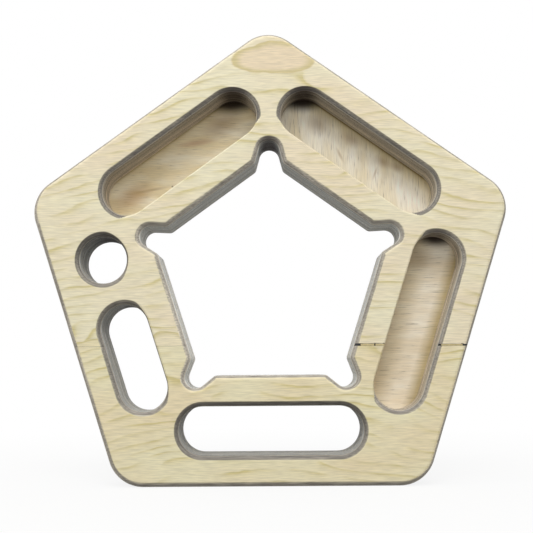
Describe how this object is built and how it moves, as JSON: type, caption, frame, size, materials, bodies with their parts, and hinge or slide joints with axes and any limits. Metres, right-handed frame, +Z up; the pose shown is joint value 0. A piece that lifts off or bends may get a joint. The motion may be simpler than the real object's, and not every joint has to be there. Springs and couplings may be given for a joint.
{
  "type": "portable hangboard",
  "caption": "Five-sided plywood finger board with blind finger pockets, through slots, a round finger hole and cord notches around a central opening.",
  "frame": {"origin": "under the middle of the bottom side, at half the board's thickness", "axes": "+Z up, -Y out of the front face that the pockets open to, +X to the right seen from the front"},
  "size_m": [0.2364, 0.025, 0.2267],
  "materials": {
    "face_veneer": "sanded bare",
    "long_grain_ply": "milled bare",
    "cross_grain_ply": "milled bare"
  },
  "bodies": {
    "root": {"front_face_veneer_upper": "face_veneer", "front_face_veneer_lower": "face_veneer", "core_ply_01_cross_grain": "cross_grain_ply", "core_ply_02_long_grain": "long_grain_ply", "core_ply_03_cross_grain": "cross_grain_ply", "core_ply_04_long_grain": "long_grain_ply", "core_ply_05_cross_grain": "cross_grain_ply", "core_ply_06_long_grain": "long_grain_ply", "core_ply_07_cross_grain": "cross_grain_ply", "core_ply_08_long_grain": "long_grain_ply", "core_ply_09_cross_grain": "cross_grain_ply", "core_ply_10_long_grain": "long_grain_ply", "core_ply_11_cross_grain": "cross_grain_ply", "back_face_veneer": "face_veneer"}
  },
  "joints": []
}
